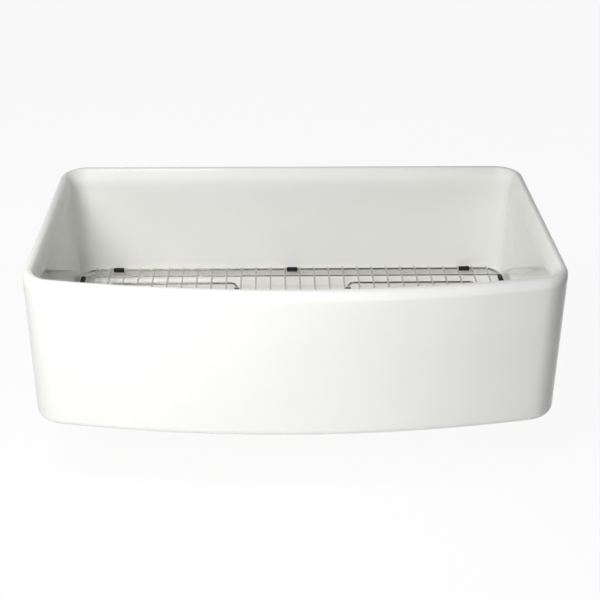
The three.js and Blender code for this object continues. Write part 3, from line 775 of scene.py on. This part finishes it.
def basket():
    """Perforated cup with a rubber plug below, held by the knob's stem and its nut."""
    floor_z = -37.4
    wall = 1.2
    mouth_z = 8
    cup = rounded([
        (STEM_BORE, floor_z), (27, floor_z, 3), (30.5, floor_z + 3, 4), (37.6, mouth_z, 2),
        (39.4, mouth_z + 1.5, 0.6), (39.4, mouth_z + 2.7, 0.5), (37, mouth_z + 2.7, 1),
        (36.2, mouth_z + 0.6, 2), (29.3, floor_z + 3.6, 3), (26.5, floor_z + wall, 2),
        (STEM_BORE, floor_z + wall)], 5)
    shell = lathe("basket_shell", cup, DRAIN_STEEL, "basket", "polished_stainless", "basket_cup")
    drills = Solid()
    for row, z in enumerate(HOLE_ROWS):
        for i in range(HOLES_IN_ROW):
            angle = 2 * math.pi * (i + row % 2 / 2) / HOLES_IN_ROW
            out = Matrix.Translation((33, 0, z)) @ Matrix.Rotation(math.pi / 2, 4, "Y")
            merge(drills, hole_drill(8).turned(Matrix.Rotation(angle, 4, "Z") @ out))
    for radius, count in FLOOR_HOLES:
        for i in range(count):
            angle = 2 * math.pi * (i + 0.5) / count
            place = (radius * math.cos(angle), radius * math.sin(angle), floor_z)
            merge(drills, hole_drill(4).turned(Matrix.Translation(place)))
    drills.turned(Matrix.Translation((0, DRAIN_Y, 0)))
    cut_holes(shell, drills)
    top = floor_z - FIT_GAP
    stopper = rounded([
        (STEM_BORE, top - 9.5), (17.2, top - 9.5, 1), (21.2, top - 6.2, 1), (25, top - 6.2, 0.8),
        (26, top - 4.8, 0.8), (24, top, 1), (STEM_BORE, top)])
    lathe("basket_plug", stopper, RUBBER, "basket", "black_rubber", "basket_stopper")
    nut_top = top - 9.5 - FIT_GAP
    nut_low = nut_top - 4
    blank = STEM_NUT_FLATS / math.sqrt(3)
    nut = [(STEM_BORE, nut_low), (blank, nut_low)]
    nut += column(blank, nut_low + 0.1, nut_top - 0.1, 0.4)
    nut += [(blank, nut_top), (STEM_BORE, nut_top)]
    lathe("basket_stem_nut", nut, DRAIN_STEEL, "basket", "polished_stainless", "basket_nut",
          hexagon(STEM_NUT_FLATS, nut_low, nut_top), 72)
    collar = floor_z + wall + FIT_GAP
    knob_top = 30.3
    knob = rounded([
        (0, -58), (2.2, -58, 0.4), (3, -57, 0.6), (3, collar), (6.5, collar, 0.3),
        (6.5, collar + 2.4, 0.5), (3.5, collar + 3.4, 0.6), (3.5, knob_top - 16, 3),
        (6, knob_top - 12, 4), (10, knob_top - 8.5, 1.5), (11, knob_top - 5.5, 2.5),
        (10, knob_top - 2.5, 1.5), (6, knob_top - 0.5, 3), (0, knob_top)], 6)
    lathe("basket_handle", knob, DRAIN_STEEL, "basket", "polished_stainless", "basket_knob")


def hole_drill(reach):
    """Upright drill for one hole, as long above its middle as below."""
    return Solid().revolve([(0, -reach), (HOLE_RADIUS, -reach), (HOLE_RADIUS, reach),
                            (0, reach)], 12)


def cut_holes(target, drills):
    """Drills a piece and keeps the result in its mesh."""
    mesh = bpy.data.meshes.new("drills")
    mesh.from_pydata([point * MM for point in drills.points], [], drills.faces)
    tool = bpy.data.objects.new("drills", mesh)
    bpy.context.collection.objects.link(tool)
    cut = target.modifiers.new("holes", "BOOLEAN")
    cut.object = tool
    cut.operation = "DIFFERENCE"
    cut.solver = "EXACT"
    bpy.context.view_layer.update()
    graph = bpy.context.evaluated_depsgraph_get()
    drilled = bpy.data.meshes.new_from_object(target.evaluated_get(graph))
    target.modifiers.clear()
    target.data = drilled
    drilled.set_sharp_from_angle(angle=math.radians(CREASE))
    bpy.data.objects.remove(tool)


# ---- Grid ----

def grid_piece(name, solid, *nodes):
    """Steel piece of the grid, its points written from the grid's middle."""
    solid.turned(Matrix.Translation((0, GRID_Y, 0)))
    return piece(name, solid, WIRE_STEEL, "grid", "stainless_wire", *nodes)


def grid_rim():
    """One wire bent to a rounded rectangle."""
    x = GRID_HALF_WIDTH - GRID_CORNER_RADIUS
    y = GRID_HALF_DEPTH - GRID_CORNER_RADIUS
    path = []
    for i, (corner_x, corner_y) in enumerate(((x, y), (-x, y), (-x, -y), (x, -y))):
        path += arc(corner_x, corner_y, GRID_CORNER_RADIUS, 90 * i, 90 * (i + 1), 16)
    points = [(px, py, RIM_Z) for px, py in path]
    grid_piece("grid_rim", Solid().wire(points, UP, RIM_RADIUS, 18, looped=True), "grid_rim_wire")


def grid_ring():
    """Wire round the opening over the drain."""
    points = [(px, py, RIM_Z) for px, py in arc(0, 0, RING_RADIUS, 0, 360, 72)[:-1]]
    ring = Solid().wire(points, UP, RIM_RADIUS, 18, looped=True)
    grid_piece("grid_ring", ring, "grid_drain_ring")


def bar_places():
    """Places of the bars across the width, from the grid's middle."""
    return [(i - (BAR_COUNT - 1) / 2) * BAR_PITCH for i in range(BAR_COUNT)]


def grid_bars():
    """Bars from front to back over the cross wires; those in the middle stop at the ring."""
    bars = Solid()
    end = GRID_HALF_DEPTH
    for x in bar_places():
        if abs(x) < RING_RADIUS:
            stop = math.sqrt(RING_RADIUS ** 2 - x ** 2)
            bars.wire([(x, stop, BAR_Z), (x, end, BAR_Z)], UP, BAR_RADIUS)
            bars.wire([(x, -end, BAR_Z), (x, -stop, BAR_Z)], UP, BAR_RADIUS)
        else:
            bars.wire([(x, -end, BAR_Z), (x, end, BAR_Z)], UP, BAR_RADIUS)
    grid_piece("grid_bars", bars, "grid_mesh")
    wires = Solid()
    side = GRID_HALF_WIDTH - RIM_RADIUS - FIT_GAP
    ring_side = RING_RADIUS + RIM_RADIUS + FIT_GAP
    for y in CROSS_ROWS:
        if abs(y) < RING_RADIUS:
            wires.wire([(-side, y, CROSS_Z), (-ring_side, y, CROSS_Z)], UP, CROSS_RADIUS)
            wires.wire([(ring_side, y, CROSS_Z), (side, y, CROSS_Z)], UP, CROSS_RADIUS)
        else:
            wires.wire([(-side, y, CROSS_Z), (side, y, CROSS_Z)], UP, CROSS_RADIUS)
    grid_piece("grid_cross_wires", wires, "grid_mesh")


def grid_welds():
    """Small beads where the bars lie on the rim and the leg wires."""
    beads = Solid()
    rim_top = RIM_Z + RIM_RADIUS
    leg_top = LEG_Z + LEG_RADIUS
    clear = 8  # from a leg's bend to the first bead on it
    spots = [(x, y, rim_top) for y in (GRID_HALF_DEPTH, -GRID_HALF_DEPTH) for x in bar_places()]
    for y in (LEG_ROW, -LEG_ROW):
        spots += [(x, y, leg_top) for x in bar_places()
                  if LEG_INNER_X + clear < abs(x) < LEG_OUTER_X - clear]
    for x, y, z in spots:
        bead = Solid().revolve(
            [(0, -1.1), (0.9, -0.9), (1.5, 0), (0.9, 0.9), (0, 1.1)], 12)
        merge(beads, bead.turned(Matrix.Translation((x, y, z + FIT_GAP / 2))))
    grid_piece("grid_welds", beads)


def grid_legs():
    """Four bent wires, each with a rubber shoe on both ends."""
    half = (LEG_OUTER_X - LEG_INNER_X) / 2
    foot_z = SHOE_BOTTOM_Z + SHOE_SOLE + FIT_GAP
    bend_x = half - LEG_BEND
    bend_z = LEG_Z - LEG_BEND
    section = [
        (half, foot_z),
        *arc(bend_x, bend_z, LEG_BEND, 0, 90, 10),
        *arc(-bend_x, bend_z, LEG_BEND, 90, 180, 10),
        (-half, foot_z),
    ]
    middle = (LEG_OUTER_X + LEG_INNER_X) / 2
    for end, y in (("rear", LEG_ROW), ("front", -LEG_ROW)):
        for side, sign in (("left", -1), ("right", 1)):
            path = [(sign * middle + x, y, z) for x, z in section]
            legs = Solid().wire(path, BACK, LEG_RADIUS, 16)
            grid_piece(f"grid_legs_{end}_{side}", legs, f"leg_wire_{end}_{side}")
            for spot, x in (("outer", LEG_OUTER_X), ("inner", LEG_INNER_X)):
                shoe(f"{end}_{side}_{spot}", sign * x, y)


def rubber_piece(name, solid, node):
    """Rubber piece of the grid, its points written from the grid's middle."""
    solid.turned(Matrix.Translation((0, GRID_Y, 0)))
    return piece(name, solid, RUBBER, "grid", "black_rubber", node)


def shoe(place, x, y):
    """Cap that stands on the floor with the end of a leg wire in it."""
    top = SHOE_BOTTOM_Z + SHOE_HEIGHT
    sole_top = SHOE_BOTTOM_Z + SHOE_SOLE
    profile = rounded([
        (0, SHOE_BOTTOM_Z), (SHOE_FOOT_RADIUS, SHOE_BOTTOM_Z, 0.8),
        (SHOE_WIDEST_RADIUS, SHOE_BOTTOM_Z + 1.2, 0.8), (SHOE_TOP_RADIUS, top, 1.2),
        (SHOE_BORE, top, 0.5), (SHOE_BORE, sole_top), (0, sole_top)])
    solid = Solid().revolve(profile, 36).turned(Matrix.Translation((x, y, 0)))
    rubber_piece(f"rubber_foot_{place}", solid, f"shoe_{place}")


def bumper(place, x, y, turn):
    """Sleeve round the rim wire."""
    half = BUMPER_LENGTH / 2
    profile = rounded([
        (BUMPER_BORE, -half, 0.3), (BUMPER_RADIUS, -half, 0.9),
        (BUMPER_RADIUS, half, 0.9), (BUMPER_BORE, half, 0.3)])
    solid = Solid().revolve(profile, 36)
    solid.turned(Matrix.Translation((x, y, RIM_Z)) @ turn)
    rubber_piece(f"rubber_sleeve_{place}", solid, f"bumper_{place}")


def bumpers():
    """Three sleeves along the back and the front, and two on each side."""
    along_x = Matrix.Rotation(math.pi / 2, 4, "Y")
    along_y = Matrix.Rotation(math.pi / 2, 4, "X")
    for end, sign_y in (("rear", 1), ("front", -1)):
        for spot, x in (("left", -BUMPER_X), ("middle", 0), ("right", BUMPER_X)):
            bumper(f"{end}_{spot}", x, sign_y * GRID_HALF_DEPTH, along_x)
        for side, sign_x in (("left", -1), ("right", 1)):
            bumper(f"{side}_{end}", sign_x * GRID_HALF_WIDTH, sign_y * BUMPER_Y, along_y)


# ---- Camera, floor and light ----

CAMERA_PLACE = Vector((-35.18, -1579.82, 1074.26)) * MM  # from a fit to the photo's outline
CAMERA_YAW = math.radians(1.4392)
CAMERA_PITCH = math.radians(28.3543)
CAMERA_ROLL = math.radians(0.3368)
LENS = 71.07
SENSOR = 36.0
FLOOR_HALF_SIZE = 30  # metres
FLOOR_GAP = 0.002  # metres between the tailpiece and the floor
FLOOR_WHITE = 0.94  # share of the floor's look that is plain white
BACKDROP_FADE = (0.25, 0.5)  # sine of the elevations where the white backdrop fades
CEILING_WHITE = 0.03  # what mirrored rays see of the white overhead
LAMP_COLOUR = (0.992, 0.995, 1.0)
SOFT_BOX = (0.9, 0.9)  # width and height of the lamps, metres
GLINT_LAMP = (0.49, 0.2)
BOUNCE_CARD = (1.2, 0.2)


def camera():
    """Camera of the photo: in front, above and a little left of the middle."""
    ahead = Vector((math.sin(CAMERA_YAW) * math.cos(CAMERA_PITCH),
                    math.cos(CAMERA_YAW) * math.cos(CAMERA_PITCH),
                    -math.sin(CAMERA_PITCH)))
    level = Vector((math.cos(CAMERA_YAW), -math.sin(CAMERA_YAW), 0))
    upright = level.cross(ahead)
    right = math.cos(CAMERA_ROLL) * level + math.sin(CAMERA_ROLL) * upright
    above = math.cos(CAMERA_ROLL) * upright - math.sin(CAMERA_ROLL) * level
    data = bpy.data.cameras.new("camera")
    data.sensor_fit = "HORIZONTAL"
    data.sensor_width = SENSOR
    data.lens = LENS
    made = bpy.data.objects.new("camera", data)
    turn = Matrix((right, above, -ahead)).transposed().to_4x4()
    made.matrix_world = Matrix.Translation(CAMERA_PLACE) @ turn
    bpy.context.collection.objects.link(made)
    bpy.context.scene.camera = made


def area_light(name, place, aim, size, power, mirrored=False):
    """Lamp that shines from place to aim, in metres, with its power in watts."""
    data = bpy.data.lights.new(name, "AREA")
    data.shape = "RECTANGLE"
    data.size, data.size_y = size
    data.energy = power
    data.color = LAMP_COLOUR
    made = bpy.data.objects.new(name, data)
    made.visible_glossy = mirrored
    away = (Vector(place) - Vector(aim)).to_track_quat("Z", "Y")
    made.matrix_world = Matrix.Translation(place) @ away.to_matrix().to_4x4()
    bpy.context.collection.objects.link(made)


def either(nodes, links, first, second):
    """1 where one of two on-off values is on."""
    larger = nodes.new("ShaderNodeMath")
    larger.operation = "MAXIMUM"
    links.new(first, larger.inputs[0])
    links.new(second, larger.inputs[1])
    return larger.outputs["Value"]


def floor():
    """Pale floor just under the tailpiece: nearly white to the camera, with a soft shadow."""
    half = FLOOR_HALF_SIZE
    level = TAIL_END_Z * MM - FLOOR_GAP
    mesh = bpy.data.meshes.new("floor")
    corners = [(-half, -half, level), (half, -half, level), (half, half, level),
               (-half, half, level)]
    mesh.from_pydata(corners, [], [(0, 1, 2, 3)])
    made = bpy.data.objects.new("floor", mesh)
    bpy.context.collection.objects.link(made)
    material = bpy.data.materials.new("floor")
    material.use_nodes = True
    nodes = material.node_tree.nodes
    links = material.node_tree.links
    shader = nodes["Principled BSDF"]
    shader.inputs["Base Color"].default_value = (0.95, 0.95, 0.95, 1)
    shader.inputs["Roughness"].default_value = 1
    shader.inputs["Specular IOR Level"].default_value = 0
    glow = nodes.new("ShaderNodeEmission")
    rays = nodes.new("ShaderNodeLightPath").outputs
    mirrored = either(nodes, links, rays["Is Glossy Ray"], rays["Is Transmission Ray"])
    share = nodes.new("ShaderNodeMath")
    share.operation = "MULTIPLY"
    share.inputs[1].default_value = FLOOR_WHITE
    links.new(either(nodes, links, rays["Is Camera Ray"], mirrored), share.inputs[0])
    mix = nodes.new("ShaderNodeMixShader")
    links.new(share.outputs["Value"], mix.inputs["Fac"])
    links.new(shader.outputs["BSDF"], mix.inputs[1])
    links.new(glow.outputs["Emission"], mix.inputs[2])
    links.new(mix.outputs["Shader"], nodes["Material Output"].inputs["Surface"])
    mesh.materials.append(material)


def world():
    """White to the camera; mirrored rays see it white round the horizon and dim overhead."""
    scene_world = bpy.data.worlds.new("studio")
    bpy.context.scene.world = scene_world
    scene_world.use_nodes = True
    nodes = scene_world.node_tree.nodes
    links = scene_world.node_tree.links
    room = nodes["Background"]
    room.inputs["Color"].default_value = (1, 1, 1, 1)
    room.inputs["Strength"].default_value = 0.0
    white = nodes.new("ShaderNodeBackground")
    rays = nodes.new("ShaderNodeLightPath").outputs
    heading = nodes.new("ShaderNodeSeparateXYZ")
    links.new(nodes.new("ShaderNodeTexCoord").outputs["Generated"], heading.inputs["Vector"])
    backdrop = nodes.new("ShaderNodeMapRange")
    backdrop.inputs["From Min"].default_value = BACKDROP_FADE[0]
    backdrop.inputs["From Max"].default_value = BACKDROP_FADE[1]
    backdrop.inputs["To Min"].default_value = 1.0
    backdrop.inputs["To Max"].default_value = CEILING_WHITE
    links.new(heading.outputs["Z"], backdrop.inputs["Value"])
    mirrored = nodes.new("ShaderNodeMath")
    mirrored.operation = "MULTIPLY"
    links.new(either(nodes, links, rays["Is Glossy Ray"], rays["Is Transmission Ray"]),
              mirrored.inputs[0])
    links.new(backdrop.outputs["Result"], mirrored.inputs[1])
    mix = nodes.new("ShaderNodeMixShader")
    links.new(either(nodes, links, rays["Is Camera Ray"], mirrored.outputs["Value"]),
              mix.inputs["Fac"])
    links.new(room.outputs["Background"], mix.inputs[1])
    links.new(white.outputs["Background"], mix.inputs[2])
    links.new(mix.outputs["Shader"], nodes["World Output"].inputs["Surface"])


def lights():
    """Two soft boxes up in front on the left, a narrow lamp and a low bounce card.

    The gloss mirrors only the narrow lamp, which glints on the left of the rear rim.
    """
    bowl = (0, 0.2, 0.15)
    rear_rim = (-0.245, 0.452, 0.254)
    foot_of_apron = (0, -0.02, 0.05)
    area_light("key", (-0.521, -0.702, 1.229), bowl, SOFT_BOX, 13.6)
    area_light("fill", (-0.737, -1.091, 1.514), bowl, SOFT_BOX, 15.3)
    area_light("glint", (-0.485, -1.03, 2.26), rear_rim, GLINT_LAMP, 7, mirrored=True)
    area_light("bounce", (0, -0.55, -0.12), foot_of_apron, BOUNCE_CARD, 0.7)


camera()
basin()
strainer_body()
strainer_cross()
washer("flange_gasket", "strainer_gasket", BORE_RADIUS + 1, 0.4, FOAM, "grey_foam")
washer("thick_washer", "rubber_washer", CUP_RADIUS + 0.5, 0.6, RUBBER, "black_rubber")
washer("fibre_ring", "friction_ring", CUP_RADIUS + 0.5, 0.2, FIBRE, "red_fibre")
lock_nut()
tail_parts()
basket()
grid_rim()
grid_ring()
grid_bars()
grid_welds()
grid_legs()
bumpers()
floor()
world()
lights()
bpy.context.scene.view_settings.view_transform = "Standard"
